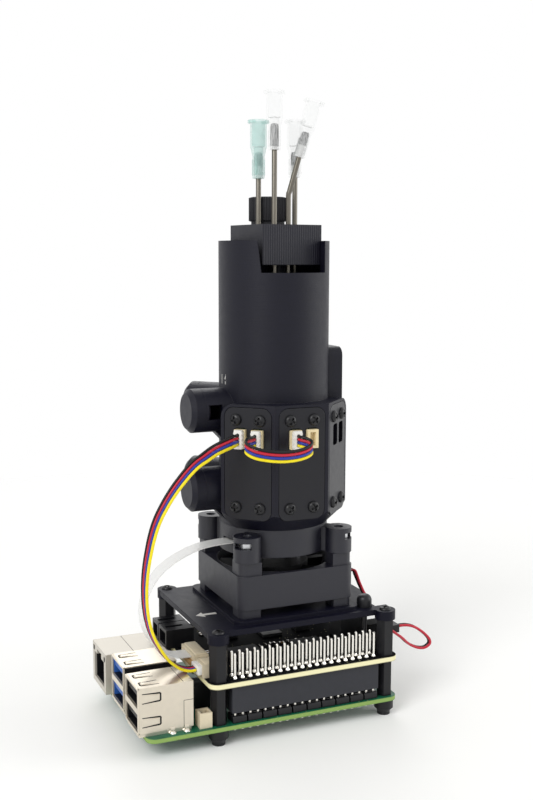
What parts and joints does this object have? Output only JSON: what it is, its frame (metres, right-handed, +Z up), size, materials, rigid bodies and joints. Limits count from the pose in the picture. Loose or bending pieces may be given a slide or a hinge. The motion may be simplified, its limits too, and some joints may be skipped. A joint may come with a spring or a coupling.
{
  "type": "bench bioreactor",
  "caption": "Bench bioreactor: a vial in a black sensor holder over a magnetic stirrer, standing on stacked circuit boards, with needles through a block on its cap.",
  "frame": {"origin": "middle of the four feet, on the bench", "axes": "+X away from the serial and network jacks, -Y towards the pin header's side, +Z up along the vial"},
  "size_m": [0.1082, 0.0615, 0.1994],
  "materials": {
    "board_green": "green solder mask over glass fibre, gloss",
    "board_yellow": "dark top with a pale yellow cut edge",
    "shell_metal": "bright plated sheet metal",
    "black_plastic": "black moulded plastic",
    "chip_black": "black moulded chip packages",
    "pin_metal": "bright tinned pins",
    "cream_plastic": "cream connector plastic",
    "tan_plastic": "tan connector slider",
    "white_plastic": "white connector plastic",
    "print_black": "black printed plastic with fine layer lines",
    "panel_black": "black satin panel",
    "black_steel": "black oxide screws",
    "zinc_steel": "zinc-plated steel",
    "bronze": "sintered bronze sleeve",
    "copper_winding": "enamelled copper windings",
    "magnet_nickel": "nickel-plated magnets",
    "led_clear": "clear moulded light units",
    "glass": "clear borosilicate glass",
    "septum_rubber": "off-white silicone",
    "needle_green": "translucent pale green hub on a steel tube",
    "needle_clear": "translucent clear hub on a steel tube",
    "stir_white": "white coated stirring bar",
    "wire_yellow": "yellow wire insulation, with black, red and blue beside it",
    "wire_red": "red wire insulation, with black beside it",
    "ribbon_white": "white flat cable"
  },
  "bodies": {
    "base": {"computer_board": "board_green", "usb_jack_black": "shell_metal", "usb_jack_blue": "shell_metal", "network_jack": "shell_metal", "fan_header": "cream_plastic", "pin_header": "black_plastic", "board_chips": "chip_black", "edge_sockets": "shell_metal", "memory_card": "black_plastic", "stack_board": "board_yellow", "socket_header": "black_plastic", "long_pins": "pin_metal", "stack_chips": "chip_black", "black_sockets": "black_plastic", "ribbon_socket": "cream_plastic", "bus_socket": "cream_plastic", "button_switch": "black_plastic", "motor_plug": "black_plastic", "motor_header": "black_plastic", "feet": "black_plastic", "lower_standoffs": "black_plastic", "upper_standoffs": "black_plastic", "plate_screws": "black_plastic", "top_plate": "print_black", "stirrer_housing": "print_black", "stirrer_stator": "copper_winding", "stirrer_bearing": "bronze", "tower_screws": "zinc_steel", "tower_nuts": "zinc_steel", "holder_base": "print_black", "heater_board": "chip_black", "vial_holder": "print_black", "left_panel": "panel_black", "front_panel": "panel_black", "right_panel": "panel_black", "panel_screws": "black_steel", "sensor_boards": "board_green", "sensor_sockets": "cream_plastic", "pocket_caps": "print_black", "light_units": "led_clear", "vial": "glass", "bus_cable": "wire_yellow", "jumper_cable": "wire_red", "motor_leads": "wire_red", "heater_ribbon": "ribbon_white", "cable_plugs": "white_plastic"},
    "rotor": {"rotor": "black_plastic", "rotor_magnets": "magnet_nickel"},
    "stir_bar": {"stir_bar": "stir_white"},
    "button": {"button_cap": "black_plastic"},
    "power_button": {"power_button": "white_plastic"},
    "latch": {"ribbon_latch": "tan_plastic"},
    "cap": {"vial_cap": "black_plastic", "septum": "septum_rubber", "cap_block": "print_black"},
    "plug": {"port_plug": "black_plastic"},
    "needle_1": {"needle_1": "needle_green"},
    "needle_2": {"needle_2": "needle_clear"},
    "needle_3": {"needle_3": "needle_clear"},
    "needle_4": {"needle_4": "needle_clear"}
  },
  "joints": [
    {"name": "rotor_spin", "type": "hinge", "parent": "base", "child": "rotor", "pos_m": [0, 0, 0.045], "axis": [0, 0, 1], "continuous": true},
    {"name": "stir_bar_spin", "type": "hinge", "parent": "base", "child": "stir_bar", "pos_m": [0, 0, 0.0622], "axis": [0, 0, 1], "continuous": true},
    {"name": "button_press", "type": "slide", "parent": "base", "child": "button", "axis": [0, 0, -1], "range_m": [0, 0.0005], "stiffness_N_per_m": 1500, "springref_m": -0.0005},
    {"name": "power_press", "type": "slide", "parent": "base", "child": "power_button", "axis": [-1, 0, 0], "range_m": [0, 0.00025], "stiffness_N_per_m": 2000, "springref_m": -0.0003},
    {"name": "latch_slide", "type": "slide", "parent": "base", "child": "latch", "axis": [-1, 0, 0], "range_m": [0, 0.001]},
    {"name": "cap_turn", "type": "hinge", "parent": "base", "child": "cap", "pos_m": [0, 0, 0.135], "axis": [0, 0, 1], "range_deg": [0, 360]},
    {"name": "plug_turn", "type": "hinge", "parent": "cap", "child": "plug", "pos_m": [-0.0002, 0.0044, 0.16], "axis": [0, 0, 1], "continuous": true},
    {"name": "needle_1_slide", "type": "slide", "parent": "cap", "child": "needle_1", "axis": [0, 0, 1], "range_m": [-0.004, 0.004]},
    {"name": "needle_2_slide", "type": "slide", "parent": "cap", "child": "needle_2", "axis": [0, 0, 1], "range_m": [-0.0035, 0.02]},
    {"name": "needle_3_slide", "type": "slide", "parent": "cap", "child": "needle_3", "axis": [0, 0, 1], "range_m": [-0.004, 0.015]},
    {"name": "needle_4_slide", "type": "slide", "parent": "cap", "child": "needle_4", "axis": [0, 0, 1], "range_m": [-0.005, 0.015]}
  ],
  "couplings": [
    {"joint": "stir_bar_spin", "follows": "rotor_spin", "ratio": 1}
  ]
}
